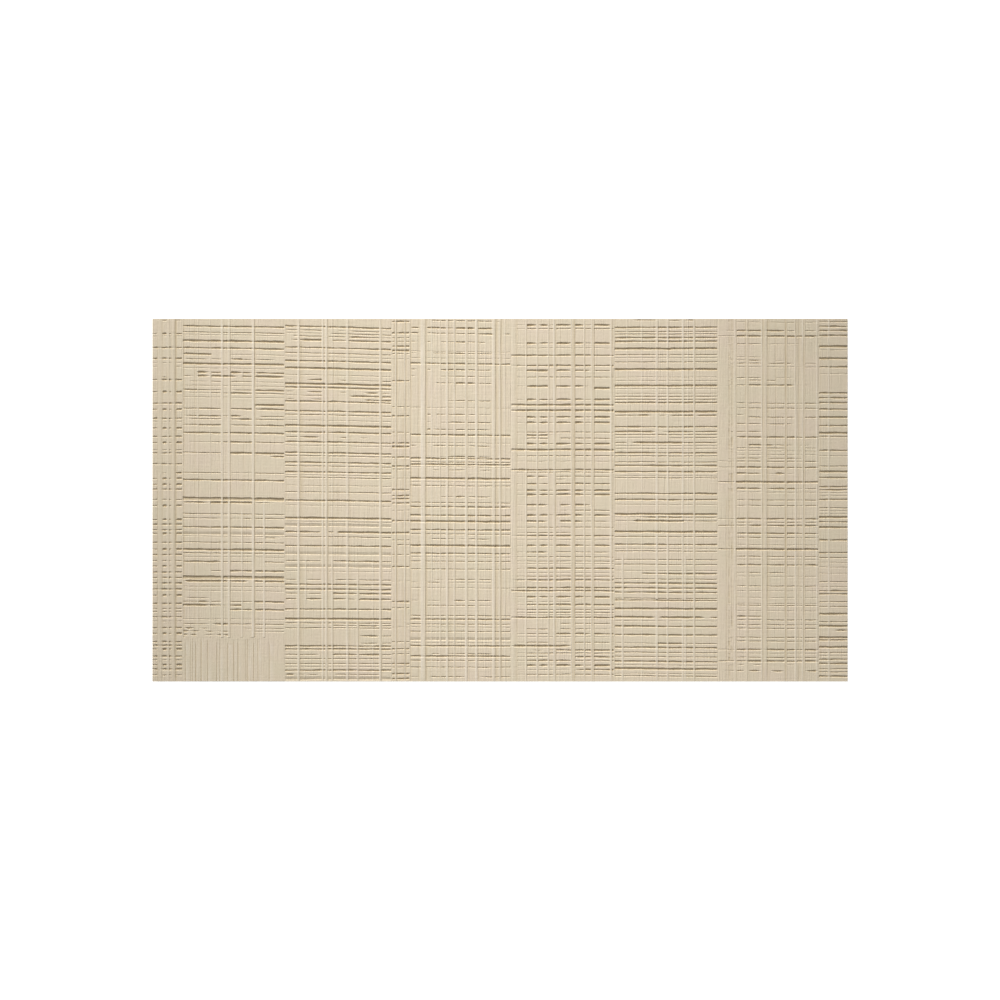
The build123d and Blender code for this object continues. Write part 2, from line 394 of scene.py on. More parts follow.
                (604, 616, CLEAR), (618, 655, TRENCH), (668, 692, DEEP), (698, 724, DEEP), (731, 757, CLEAR),
            ),
            (
                112,
                (604, 616, CLEAR), (620, 655, TRENCH), (668, 692, TRENCH),
                (698, 713, TRENCH), (717, 724, TRENCH),
            ),
            (115, (730, 757, TRENCH)),
            (193, (600, 616, FAINT), (618, 655, DEEP), (656, 662, FAINT)),
            (198, (618, 655, CLEAR), (675, 757, CLEAR)),
            (261, (604, 616, FAINT), (618, 630, DEEP), (638, 653, DEEP), (668, 757, CLEAR)),
            (266, (668, 683, CLEAR)),
            (273, (596, 616, CLEAR), (618, 636, DEEP), (640, 655, CLEAR), (667, 757, DEEP)),
            (308, (604, 616, FAINT), (618, 653, DEEP), (675, 691, DEEP), (698, 724, DEEP)),
            (317, (618, 636, FAINT), (675, 691, FAINT), (698, 757, CLEAR)),
            (335, (604, 616, FAINT), (618, 653, DEEP), (674, 713, DEEP), (716, 754, CLEAR)),
            (354, (604, 692, CLEAR)),
            (386, (596, 616, CLEAR), (618, 653, DEEP), (668, 754, CLEAR)),
            (413, (596, 618, CLEAR), (618, 764, DEEP)),
            (468, (604, 616, FAINT), (618, 632, CLEAR), (640, 700, FAINT)),
            (473, (596, 618, FAINT), (618, 764, DEEP)),
            (504, (675, 692, CLEAR), (698, 757, CLEAR)),
            (513, (618, 655, CLEAR), (675, 724, CLEAR), (731, 757, FAINT)),
            (521, (604, 655, CLEAR), (668, 724, DEEP), (731, 764, DEEP)),
            (535, (604, 655, CLEAR), (668, 691, FAINT), (698, 757, CLEAR)),
            (541, (595, 691, TRENCH)),
            (548, (611, 620, CLEAR), (632, 642, CLEAR), (657, 664, CLEAR), (667, 764, DEEP)),
            (559, (598, 653, CLEAR), (698, 764, DEEP)),
            (565, (596, 618, CLEAR), (618, 692, DEEP), (698, 764, CLEAR)),
            (580, (604, 691, FAINT), (701, 764, DEEP)),
        ),
    ),
    Band(
        left=764, right=935, fall=(-0.5, 1.8),
        cords=(
            Cord(778, 3.5, 0.92, start=395), Cord(785.5, 2, 0.65, end=395), Cord(809.5, 1.6, 0.6),
            Cord(834.5, 4, 0.86), Cord(852.5, 3.5, 0.86), Cord(877.5, 3.5, 0.92),
            Cord(881.5, 3, 0.7, start=395), Cord(885.5, 1.8, 0.6, end=395), Cord(896.5, 4, 0.97),
        ),
        ruts=(
            Rut(765.5, 0.65), Rut(779.4, 0.25, start=395), Rut(786.6, 0.25, end=395),
            Rut(853.4, 0.25, start=300), Rut(879, 0.35, start=300), Rut(897.6, 0.8), Rut(931, 0.3, end=320),
        ),
        trenches=(50, 84, 111, 154, 323, 352, 479, 578),
        through=(243, 289, 465),
        deep=(15, 32, 38, 139, 179, 222, 253, 299, 373, 437, 445, 452, 508, 522, 543, 566),
        clear=(22, 26, 60, 72, 129, 134, 192, 227, 237, 263, 360, 384, 398, 406, 430, 462, 551, 558, 590),
        faint=(65, 97, 103, 116, 124, 210, 215, 260, 307, 380, 416, 499, 572, 586),
        dashed=(
            (3, (797, 832, CLEAR), (855, 872, CLEAR), (882, 897, CLEAR)),
            (160, (764, 800, CLEAR), (802, 823, DEEP), (840, 850, CLEAR), (858, 896, DEEP), (900, 933, DEEP)),
            (187, (764, 831, DEEP), (850, 934, DEEP)),
            (197, (764, 831, FAINT), (855, 934, CLEAR)),
            (205, (764, 785, CLEAR), (795, 878, TRENCH), (879, 934, DEEP)),
            (328, (764, 800, FAINT), (802, 820, CLEAR), (820, 880, DEEP), (882, 934, CLEAR)),
            (334, (764, 798, FAINT), (800, 880, TRENCH), (882, 934, CLEAR)),
            (421, (810, 934, DEEP)),
            (536, (764, 832, FAINT), (835, 880, DEEP), (884, 934, CLEAR)),
            (493, (764, 831, TRENCH), (840, 909, TRENCH), (922, 934, DEEP)),
        ),
    ),
    Band(
        left=935, right=1102, fall=(0.5, 0.5),
        cords=(
            Cord(942.5, 13, 0.0, rise=0.6), Cord(964.5, 4.5, 0.92, rise=0.5), Cord(983.5, 5, 0.9),
            Cord(1011.5, 10, 0.9), Cord(1047.5, 4.5, 0.95), Cord(1064, 3.5, 0.9),
            Cord(1070, 7, 0.5, rise=0.0), Cord(1077, 5, 0.92), Cord(1099, 3, 0.8),
        ),
        ruts=(
            Rut(949.2, 0.6, start=300), Rut(954.2, 0.9, dotted=True), Rut(958.8, 0.7, dotted=True),
            Rut(966.4, 0.49), Rut(981, 0.56, end=280), Rut(986, 0.56), Rut(1010, 0.7), Rut(1016.8, 0.77),
            Rut(1031, 0.56, end=280), Rut(1046, 0.9), Rut(1047.8, 1.3), Rut(1064.4, 0.84, end=110),
            Rut(1069.4, 0.7), Rut(1077.6, 0.91),
        ),
        quiet_to=967,
        deep=(196, 355, 407),
        clear=(140, 148, 300, 309, 362, 393, 442, 474, 498, 506, 512, 527, 533, 560),
        faint=(6, 80, 219, 225, 287, 374, 398, 426, 450, 461, 471, 483, 553),
        dashed=(
            (20, (950, 962, FAINT), (966, 1045, DEEP), (1050, 1062, CLEAR), (1080, 1097, CLEAR)),
            (29, (935, 967, FAINT), (964, 1105, DEEP)),
            (42, (966, 1006, CLEAR), (1018, 1070, FAINT)),
            (64, (966, 1006, FAINT)),
            (69, (966, 981, FAINT), (986, 1006, CLEAR), (1030, 1040, FAINT)),
            (74, (967, 1006, CLEAR), (1018, 1056, CLEAR), (1080, 1098, FAINT)),
            (98, (967, 1006, CLEAR), (1030, 1056, FAINT)),
            (102, (986, 1031, CLEAR)),
            (110, (953, 960, FAINT), (967, 981, CLEAR), (986, 1058, DEEP), (1066, 1085, FAINT)),
            (159, (967, 977, CLEAR)),
            (163, (986, 1062, CLEAR), (1079, 1100, CLEAR)),
            (174, (966, 1006, CLEAR), (1018, 1056, CLEAR)),
            (187, (966, 1006, CLEAR)),
            (209, (986, 1028, DEEP), (1030, 1056, CLEAR), (1066, 1085, FAINT)),
            (214, (966, 1045, CLEAR), (1079, 1100, FAINT)),
            (231, (966, 1006, CLEAR), (1018, 1073, CLEAR)),
            (236, (935, 964, FAINT), (964, 1105, CLEAR)),
            (246, (935, 964, FAINT), (964, 1105, DEEP)),
            (256, (966, 1006, DEEP), (1018, 1030, FAINT), (1031, 1045, DEEP), (1050, 1057, FAINT)),
            (270, (935, 964, CLEAR), (964, 1105, TRENCH)),
            (281, (966, 1006, DEEP), (1017, 1063, DEEP), (1066, 1074, CLEAR), (1080, 1100, CLEAR)),
            (337, (966, 993, CLEAR), (1015, 1074, CLEAR), (1080, 1100, CLEAR)),
            (331, (935, 964, FAINT), (964, 1105, DEEP)),
            (342, (935, 1000, CLEAR), (990, 1105, DEEP)),
            (381, (935, 964, CLEAR), (964, 1105, TRENCH)),
            (420, (966, 981, FAINT), (986, 1006, CLEAR), (1020, 1045, CLEAR)),
            (492, (967, 1008, DEEP)),
            (547, (935, 964, FAINT), (964, 1105, DEEP)),
            (566, (935, 964, CLEAR), (964, 1105, DEEP)),
            (572, (972, 978, CLEAR), (995, 1006, CLEAR), (1050, 1057, FAINT)),
            (
                582,
                (950, 965, FAINT), (967, 976, DEEP), (988, 1003, DEEP),
                (1025, 1040, DEEP), (1084, 1100, DEEP),
            ),
        ),
    ),
    Band(
        left=1102, right=1150, fall=(0.0, 0.0),
        cords=(Cord(1119, 3.5, 0.85),),
        ruts=(Rut(1105, 0.5), Rut(1120.6, 0.25)),
        trenches=(46, 66, 163, 189, 253, 328, 345, 488, 508, 527, 543),
        through=(263, 283, 455),
        deep=(13, 20, 28, 80, 123, 131, 139, 150, 177, 218, 278, 299, 336, 366, 387, 450, 531, 563, 570, 591),
        clear=(5, 195, 244, 313, 395, 435, 468, 476, 501, 552, 579, 584),
        faint=(52, 91, 227, 288, 293, 318, 323, 403, 411, 421, 443, 557),
        dashed=((515, (1134, 1150, DEEP)),),
    ),
)


# Settings


class SheetSettings(bpy.types.PropertyGroup):
    """Sizes of the sheet's relief."""

    groove_depth: FloatProperty(
        name="Groove Depth", description="Depth of a deep groove", default=1.35 * MM, unit="LENGTH"
    )
    steep_run: FloatProperty(
        name="Steep Run", description="Width of a deep groove's upper wall", default=2.2 * MM, unit="LENGTH"
    )
    floor_run: FloatProperty(
        name="Floor Run", description="Width of a deep groove's floor", default=1.0 * MM, unit="LENGTH"
    )
    gentle_run: FloatProperty(
        name="Gentle Run", description="Width of a groove's lower wall", default=1.0 * MM, unit="LENGTH"
    )
    soft_run: FloatProperty(
        name="Soft Run", description="Width of the long side of a soft dip", default=5.0 * MM, unit="LENGTH"
    )
    soft_step: FloatProperty(
        name="Soft Step", description="Width of the short side of a soft dip", default=1.2 * MM, unit="LENGTH"
    )
    cord_rise: FloatProperty(
        name="Cord Rise", description="Height of a cord above the plain face",
        default=0.45 * MM, unit="LENGTH",
    )
    stroke_width: FloatProperty(
        name="Stroke Width", description="Width of the upright strokes", default=2.2 * MM, unit="LENGTH"
    )
    stroke_depth: FloatProperty(
        name="Stroke Depth", description="Depth of the upright strokes", default=0.7 * MM, unit="LENGTH"
    )
    thread_crown: FloatProperty(
        name="Thread Crown", description="Rise of the face between two grooves",
        default=0.05 * MM, unit="LENGTH",
    )
    rut_depth: FloatProperty(
        name="Rut Depth", description="Depth of the thin upright cuts", default=0.55 * MM, unit="LENGTH"
    )
    seam_width: FloatProperty(
        name="Seam Width", description="Width of the seam between two bands", default=1.0 * MM, unit="LENGTH"
    )
    seam_depth: FloatProperty(
        name="Seam Depth", description="Depth of the seam between two bands", default=0.25 * MM, unit="LENGTH"
    )
    edge_round: FloatProperty(
        name="Edge Round", description="Size of the worn corner round the face",
        default=0.4 * MM, unit="LENGTH",
    )
    shift: FloatProperty(
        name="Shift", description="How far a groove's dark side lies above its drafted line",
        default=0.4 * MM, unit="LENGTH",
    )
    drift: FloatProperty(
        name="Drift", description="How far the draft stretches over the whole sheet",
        default=0.5 * MM, unit="LENGTH",
    )
    wander: FloatProperty(
        name="Wander", description="How far a groove strays from its line", default=0.28 * MM, unit="LENGTH"
    )
    swell: FloatProperty(
        name="Swell", description="Share by which a groove swells and thins along its length",
        default=0.18, min=0.0,
    )
    fray: FloatProperty(
        name="Fray", description="How far a groove's upper lip is torn back", default=0.4 * MM, unit="LENGTH"
    )
    sharp_angle: FloatProperty(
        name="Sharp Angle", description="Edges bent further than this stay crisp",
        default=math.radians(2), subtype="ANGLE",
    )
    column_spacing: FloatProperty(
        name="Column Spacing", description="Widest gap between mesh columns", default=8.4 * MM, unit="LENGTH"
    )
    seed: IntProperty(name="Seed", description="Start of the random unevenness", default=7, min=0)


class ColourSettings(bpy.types.PropertyGroup):
    """Colours of the stone, and of its painted shade and painted highlights."""

    face: FloatVectorProperty(
        name="Face", description="Beige of the face", default=(0.68, 0.585, 0.444), subtype="COLOR"
    )
    rosy: FloatVectorProperty(
        name="Rosy", description="Rosy patches of the face", default=(0.68, 0.575, 0.449), subtype="COLOR"
    )
    olive: FloatVectorProperty(
        name="Olive", description="Olive patches of the face", default=(0.665, 0.583, 0.437), subtype="COLOR"
    )
    # painted highlight: a whiter beige laid on the cords' left shoulders and the strokes' right walls, the
    # sides that face the key lamp
    painted_highlight: FloatVectorProperty(
        name="Worn", description="Worn shoulders of the raised cords",
        default=(0.79, 0.72, 0.615), subtype="COLOR",
    )
    # painted shade: dark brown laid into grooves, thin cuts and strokes by their depth; also the dark of the
    # grain speckle and blotches
    groove_shade_and_grain: FloatVectorProperty(
        name="Hollow", description="Colour at the bottom of a groove",
        default=(0.55, 0.452, 0.302), subtype="COLOR",
    )
    back: FloatVectorProperty(
        name="Back", description="Greyer beige of the back", default=(0.5, 0.44, 0.34), subtype="COLOR"
    )


class StageSettings(bpy.types.PropertyGroup):
    """Floor, light and camera."""

    floor: FloatVectorProperty(
        name="Floor", description="Colour of the floor", default=(0.9, 0.9, 0.9), subtype="COLOR"
    )
    key_power: FloatProperty(
        name="Key Power", description="Power of the key lamp", default=8800.0, unit="POWER"
    )
    key_height: FloatProperty(
        name="Key Height", description="Height of the key lamp above the floor, as an angle",
        default=math.radians(29), subtype="ANGLE",
    )
    key_turn: FloatProperty(
        name="Key Turn", description="Turn of the key lamp to the left of the sheet's top edge",
        default=math.radians(18), subtype="ANGLE",
    )
    key_distance: FloatProperty(
        name="Key Distance", description="Distance of the key lamp", default=11.0, unit="LENGTH"
    )
    key_size: FloatProperty(
        name="Key Size", description="Radius of the key lamp", default=0.75, unit="LENGTH"
    )
    key_beam: FloatProperty(
        name="Key Beam", description="Whole angle of the key lamp's soft beam",
        default=math.radians(14.0), subtype="ANGLE",
    )
    key_aim: FloatVectorProperty(
        name="Key Aim", description="Point that the key lamp is aimed at",
        default=(-0.05, 0.1, 0.0), subtype="XYZ",
    )
    fill: FloatProperty(
        name="Fill", description="Strength of the light from all round", default=0.28, min=0.0
    )
    lens: FloatProperty(name="Lens", description="Focal length of the camera in millimetres", default=100.0)
    picture_width: FloatProperty(
        name="Picture Width", description="Width of the picture at the sheet's face",
        default=1.6533, unit="LENGTH",
    )


# Relief of the face


class Groove(NamedTuple):
    """One groove at every column of a grid, in millimetres."""

    middle: np.ndarray  # where the upper wall meets the floor
    upper: np.ndarray  # run of the upper wall
    floor: np.ndarray
    lower: np.ndarray  # run of the lower wall
    depth: np.ndarray
    nerve: np.ndarray  # fill of the weakest cord that dents the groove
    shade_share: float  # share of the full painted shade at its bottom

    def lip(self):
        return self.middle - self.upper

    def foot(self):
        return self.middle + self.floor

    def toe(self):
        return self.middle + self.floor + self.lower


def smooth_noise(rng, places, reach):
    """Noise from -1 to 1 that turns over about one reach along the places."""
    knots = np.arange(places.min() - reach, places.max() + 2 * reach, reach)
    return np.interp(places, knots, rng.uniform(-1.0, 1.0, len(knots)))


def span_mask(places, start, end, soft):
    """1 inside a span and 0 outside it, with soft ends."""
    rise = np.clip((places - start) / soft + 0.5, 0.0, 1.0)
    drop = np.clip((end - places) / soft + 0.5, 0.0, 1.0)
    return rise * drop


def drafted_lines(band):
    """(place, kind, spans) of each groove of a band, from the top down."""
    whole = (max(band.left - OVERRUN, band.quiet_to), band.right + OVERRUN)
    kinds = (
        ("wide", TRENCH, band.wide), ("plain", TRENCH, band.trenches), ("through", DEEP, band.through),
        ("plain", DEEP, band.deep), ("plain", CLEAR, band.clear), ("plain", FAINT, band.faint),
        ("soft", SOFT, band.soft),
    )
    lines = [(place, kind, [(*whole, share)]) for kind, share, places in kinds for place in places]
    lines += [(place, "plain", spans) for place, *spans in band.dashed]
    return sorted(lines, key=lambda line: line[0])


def make_grooves(band, along, settings, rng):
    """The grooves of a band at the given places along the sheet."""
    across_share = (along - band.left) / (band.right - band.left)
    sway = smooth_noise(rng, along, SWAY_TURN) * settings.wander / MM
    grooves = []
    for place, kind, spans in drafted_lines(band):
        share = np.zeros(len(along))
        for start, end, strength in spans:
            share = np.maximum(share, strength * span_mask(along, start, end, SPAN_FADE))
        fall = np.interp(place, (0.0, WIDTH_MM), band.fall)
        stray = smooth_noise(rng, along, GROOVE_TURN) * settings.wander / MM
        torn = np.clip(smooth_noise(rng, along, TEAR_TURN), 0.0, 1.0) ** 2 * settings.fray / MM
        vigour = share * (0.95 + settings.swell * smooth_noise(rng, along, GROOVE_TURN))
        reach = settings.steep_run / MM * (0.3 + 0.7 * vigour)
        upper = reach * (1.0 + 0.08 * smooth_noise(rng, along, GROOVE_TURN)) + torn
        lower = settings.gentle_run / MM * (1.0 + 0.2 * smooth_noise(rng, along, LOWER_WALL_TURN))
        nerve = np.where(share > TRENCH_FROM, TRENCH_NERVE, np.where(share > DEEP_FROM, DEEP_NERVE, 0.0))
        floor = settings.floor_run / MM * np.interp(vigour, *FLOOR_SHARES)
        if kind == "wide":
            floor *= WIDE_FLOOR
        elif kind == "soft":
            reach = np.full(len(along), settings.soft_run / MM)
            upper = reach + torn
            lower = np.full(len(along), settings.soft_step / MM)
        elif kind == "through":
            nerve = np.full(len(along), TRENCH_NERVE)
        drift = settings.drift / MM * place / WIDTH_MM - settings.shift / MM
        bottom = place + drift + (reach - floor) / 2
        grooves.append(
            Groove(
                middle=bottom + fall * across_share + sway + stray,
                upper=upper,
                floor=floor,
                lower=lower,
                depth=vigour * settings.groove_depth / MM,
                nerve=nerve,
                shade_share=SOFT_SHADE if kind == "soft" else 1.0,
            )
        )
    return grooves


def cord_marks(cord):
    """The places of a cord's left foot, of its crown's middle or two shoulders, and of its right foot."""
    outer = (cord.width + CORD_SLOPE) / 2
    inner = (cord.width - CORD_SLOPE) / 2
    crown = [cord.middle] if inner < NARROW_CROWN else [cord.middle - inner, cord.middle + inner]
    return [cord.middle - outer, *crown, cord.middle + outer]


def cord_profile(cord, along):
    """1 on a cord's crown, falling to 0 at its feet."""
    return np.clip((cord.width / 2 + CORD_SLOPE / 2 - np.abs(along - cord.middle)) / CORD_SLOPE, 0.0, 1.0)


def rut_marks(band, along, across, rng):
    """The strength of the thin upright cuts at a grid of points, 0 beside them."""
    marks = np.zeros(across.shape)
    for rut in band.ruts:
        column = np.argmin(np.abs(along - rut.place))
        down = across[:, column]
        faded = np.clip(0.9 + 0.35 * smooth_noise(rng, down, RUT_TURN), 0.0, 1.3)
        if rut.dotted:
            faded *= rng.uniform(0.0, 1.8, len(down))
        marks[:, column] = rut.strength * faded * span_mask(down, rut.start, rut.end, UPRIGHT_FADE)
    return marks


def shoulder_highlights(band, along, across, rng):
    """How strongly a painted highlight lightens the left shoulders of the cords at a grid of points, 0 beside
    them.
    """
    marks = np.zeros(across.shape)
    for cord in band.cords:
        shoulder = cord_marks(cord)[1]
        column = np.argmin(np.abs(along - shoulder))
        if abs(along[column] - shoulder) < SHOULDER_REACH:
            down = across[:, column]
            wear_and_highlight = np.clip(0.8 + 0.4 * smooth_noise(rng, down, HIGHLIGHT_TURN), 0.0, 1.0)
            ends = span_mask(down, cord.start, cord.end, UPRIGHT_FADE)
            marks[:, column] = wear_and_highlight * cord.rise * cord.fill * ends
    return marks


def face_heights(band, along, across, grooves, ruts, settings, rng):
    """(heights, depths that set the painted groove shade) of the face at a grid of points, in millimetres:
    rows by columns.
    """
    fill = np.zeros(across.shape)
    rise = np.zeros(across.shape)
    for cord in band.cords:
        shape = cord_profile(cord, along)[None, :] * span_mask(across, cord.start, cord.end, UPRIGHT_FADE)
        fill = np.maximum(fill, shape * cord.fill)
        rise = np.maximum(rise, shape * cord.rise * (0.5 + 0.5 * cord.fill))
    inside = seam_mask(band, along, settings)[None, :]
    depth = np.zeros(across.shape)
    shade_depth = np.zeros(across.shape)
    crown = np.zeros(across.shape)
    for groove, below in zip(grooves, grooves[1:] + [None]):
        offset = across - groove.middle[None, :]
        upper = 1.0 + offset / groove.upper[None, :]
        lower = 1.0 - (offset - groove.floor[None, :]) / groove.lower[None, :]
        shape = np.clip(np.minimum(upper, lower), 0.0, 1.0)
        nerve = groove.nerve[None, :]
        dent = np.clip((fill - nerve) / (STOP_FILL - nerve), 0.0, 1.0)
        cut = shape * groove.depth[None, :] * (1.0 - dent * (1.0 - 0.3 * nerve))
        depth = np.maximum(depth, cut)
        shade_depth = np.maximum(shade_depth, cut * groove.shade_share)
        if below is not None:
            gap = np.maximum(below.lip() - groove.toe(), 0.01)[None, :]
            share = np.clip((across - groove.toe()[None, :]) / gap, 0.0, 1.0)
            crown = np.maximum(crown, 4.0 * share * (1.0 - share) * np.clip(gap / CROWN_GAP, 0.0, 1.0))
    depth *= inside
    depth = np.maximum(depth, (1.0 - inside) * settings.seam_depth / MM)
    depth = np.maximum(depth, ruts * settings.rut_depth / MM)
    plain = THICKNESS_MM - settings.cord_rise / MM
    heights = plain + rise * settings.cord_rise / MM - depth
    heights += crown * (settings.thread_crown / MM) * (1.0 - fill) * (depth == 0.0)
    heights += rng.normal(0.0, GRIT, across.shape)
    return np.minimum(heights, THICKNESS_MM), shade_depth * inside


def seam_mask(band, along, settings):
    """1 inside a band, falling to 0 at its seams; the sheet's own edges are no seams."""
    width = settings.seam_width / MM
    mask = np.ones(len(along))
    if band.left > 0:
        mask *= np.clip((along - band.left - width / 2) / width, 0.0, 1.0)
    if band.right < LENGTH_MM:
        mask *= np.clip((band.right - width / 2 - along) / width, 0.0, 1.0)
    return mask


# Grid of the face


def mark_between(marks, first, second):
    """Whether one of the marks lies between two places or close beside them."""
    low = min(first, second) - SIDE_CLEARANCE
    high = max(first, second) + SIDE_CLEARANCE
    return any(low < mark < high for mark in marks)


def spread_columns(band, strokes, settings):
    """The places of a grid's columns: on every cord, rut, stroke and seam, and evenly between them."""
    seam = settings.seam_width / MM
    edge = settings.edge_round / MM
    first = [band.left + seam / 2, band.left + 1.5 * seam] if band.left > 0 else [0.0, edge]
    last = [band.right - 1.5 * seam, band.right - seam / 2]
    if band.right >= LENGTH_MM:
        last = [LENGTH_MM - edge, LENGTH_MM]
    marks = []
    for cord in band.cords:
        marks += cord_marks(cord)
    for rut in band.ruts:
        marks = [mark for mark in marks if abs(mark - rut.place) > RUT_CLEARANCE]
        sides = (rut.place - RUT_REACH, rut.place + RUT_REACH)
        marks += [rut.place] + [side for side in sides if not mark_between(marks, side, rut.place)]
    half = settings.stroke_width / MM / 2
    for stroke in strokes:
        marks += [stroke - half, stroke, stroke + half]
    columns = list(first)
    for mark in sorted(marks) + last:
        if mark not in last and not columns[-1] + COLUMN_GAP < mark < last[0] - COLUMN_GAP:
            continue
        pieces = math.ceil((mark - columns[-1]) * MM / settings.column_spacing)
        columns += list(np.linspace(columns[-1], mark, pieces + 1)[1:])
    return np.array(columns)


def spread_rows(grooves, columns, top, bottom, edge):
    """The places of a grid's rows at every column: along the lips, floors and toes of the grooves."""
    rows = [np.full(columns, top)]
    if edge:
        rows.append(np.full(columns, top + edge))
    for groove, below in zip(grooves, grooves[1:] + [None]):
        rows += [groove.lip(), groove.middle]
        if groove.floor.any():
            rows.append(groove.foot())
        rows.append(groove.toe())
        if below is not None:
            gap = np.mean(below.lip() - groove.toe())
            if gap >= SPLIT_GAP:
                rows.append(groove.toe() + (below.lip() - groove.toe()) / 2)
    if edge:
        rows.append(np.full(columns, bottom - edge))
    rows.append(np.full(columns, bottom))
    rows = np.array(rows)
    for i in range(1, len(rows)):
        rows[i] = np.maximum(rows[i], rows[i - 1] + ROW_GAP)
    rows[-1] = bottom
    for i in range(len(rows) - 2, -1, -1):
        rows[i] = np.minimum(rows[i], rows[i + 1] - ROW_GAP)
    rows[0] = top
    return rows


class SheetMesh:
    """The points and faces of the closed sheet, as they are gathered."""

    FACE, BACK, LEFT, BOTTOM, RIGHT, TOP = range(6)

    def __init__(self):
        self.points = []
        self.painted_groove_shades = []
        self.ruts = []
        self.painted_highlight = []
        self.faces = []
        self.sides = []

    def add_points(self, along, across, height, groove_shade_and_grain=None, rut=None, painted_highlight=None):
        """Adds points given in millimetres from the sheet's left and top edges and its back."""
        first = len(self.points)
        shape = across.shape
        x = np.broadcast_to(along, shape) * MM + SHEET_LOW.x
        y = SHEET_HIGH.y - across * MM
        z = np.broadcast_to(height, shape) * MM + SHEET_LOW.z
        self.points += np.stack([x.ravel(), y.ravel(), z.ravel()], axis=1).tolist()
        for marks, values in ((self.painted_groove_shades, groove_shade_and_grain), (self.ruts, rut), (self.painted_highlight, painted_highlight)):
            marks += (np.zeros(across.size) if values is None else values.ravel()).tolist()
        return np.arange(first, len(self.points)).reshape(shape)

    def add_faces(self, faces, side):
        """Adds faces; those of the back are turned round to look down."""
        self.faces += [face[::-1] for face in faces] if side == self.BACK else faces
        self.sides += [side] * len(faces)

    def add_grid(self, ids, side):
        """Quads over a grid of points: rows from the top down, columns from left to right."""
        quads = np.stack([ids[:-1, :-1], ids[1:, :-1], ids[1:, 1:], ids[:-1, 1:]], axis=-1)
        self.add_faces([tuple(quad) for quad in quads.reshape(-1, 4).tolist()], side)

    def add_zip(self, first, second, axis, side):
        """Triangles between two lines of points that run the same way along an axis."""
        sign = -1.0 if axis == 1 else 1.0
        first = first.tolist()
        second = second.tolist()
        a = [self.points[i][axis] * sign for i in first]
        b = [self.points[i][axis] * sign for i in second]
        i = j = 0
        triangles = []
        while i < len(first) - 1 or j < len(second) - 1:
            if j == len(second) - 1 or (i < len(first) - 1 and a[i + 1] <= b[j + 1]):
                triangles.append((first[i], first[i + 1], second[j]))
                i += 1
            else:
                triangles.append((first[i], second[j + 1], second[j]))
                j += 1
        self.add_faces(triangles, side)


def add_woven_block(sheet, band, settings, rng):
    """The grooved part of one band; returns its grid of points."""
    along = spread_columns(band, (), settings)
    grooves = make_grooves(band, along, settings, rng)
    edge = settings.edge_round / MM
    rows = spread_rows(grooves, len(along), 0.0, min(band.combed_from, WIDTH_MM), edge)
    ruts = rut_marks(band, along, rows, rng)
    heights, shade_depth = face_heights(band, along, rows, grooves, ruts, settings, rng)
    painted_highlight = shoulder_highlights(band, along, rows, rng)
    lower_edge(heights, rows, along, settings)
    # the grooves' depths set how far painted shade darkens each point
    ids = sheet.add_points(along, rows, heights, shade_depth * MM / settings.groove_depth, ruts, painted_highlight)
    sheet.add_grid(ids, SheetMesh.FACE)
    return ids


def lower_edge(heights, rows, along, settings):
    """Wears the corner between the face and the sheet's edges.

    The weave ends a hair short of the bottom edge, so its corner there stays crisp.
    """
    wear_and_highlight = settings.edge_round / MM
    at_edge = (rows <= 0.0) | (rows >= WIDTH_MM) | (along <= 0.0)[None, :] | (along >= LENGTH_MM)[None, :]
    heights[at_edge] -= wear_and_highlight


def add_combed_block(sheet, band, settings, rng):
    """The part of a band with upright strokes; returns its grid of points."""
    along = spread_columns(band._replace(cords=(), ruts=()), band.strokes, settings)
    edge = settings.edge_round / MM
    across = [band.combed_from + row for row in COMBED_ROWS if band.combed_from + row < WIDTH_MM - 2 * edge]
    across += [WIDTH_MM - edge, WIDTH_MM]
    rows = np.repeat(np.array(across)[:, None], len(along), axis=1)
    depths = np.zeros(rows.shape)
    ruts = np.zeros(rows.shape)
    painted_highlight = np.zeros(rows.shape)
    down = rows[:, 0]
    half = settings.stroke_width / MM / 2
    for stroke in band.strokes:
        start = np.clip((rows - band.combed_from - rng.uniform(*STROKE_START)) / STROKE_RUN_IN, 0.0, 1.0)
        stray = smooth_noise(rng, down, STROKE_TURN) * STROKE_STRAY
        cut = np.clip(1.0 - np.abs(along[None, :] - stroke - stray[:, None]) / half, 0.0, 1.0)
        vigour = rng.uniform(*STROKE_VIGOUR)
        depths = np.maximum(depths, vigour * cut * start * settings.stroke_depth / MM)
        column = np.argmin(np.abs(along - stroke))
        # painted shade down the middle of each stroke
        faded = np.clip(0.8 + 0.4 * smooth_noise(rng, down, STROKE_RUT_TURN), 0.0, 1.0)
        ruts[:, column] = start[:, column] * vigour * faded
        # painted highlight along the right wall of each stroke, which faces the key lamp
        right = np.argmin(np.abs(along - stroke - half))
        wear_and_highlight = np.clip(0.45 + 0.4 * smooth_noise(rng, down, STROKE_HIGHLIGHT_TURN), 0.0, 1.0)
        painted_highlight[:, right] = start[:, right] * wear_and_highlight
    depths = np.maximum(depths, (1.0 - seam_mask(band, along, settings))[None, :] * settings.seam_depth / MM)
    heights = THICKNESS_MM - settings.cord_rise / MM - depths + rng.normal(0.0, GRIT, rows.shape)
    lower_edge(heights, rows, along, settings)
    # the strokes' depths set their painted shade
    ids = sheet.add_points(along, rows, heights, depths * MM / settings.groove_depth, ruts, painted_highlight)
    sheet.add_grid(ids, SheetMesh.FACE)
    return ids


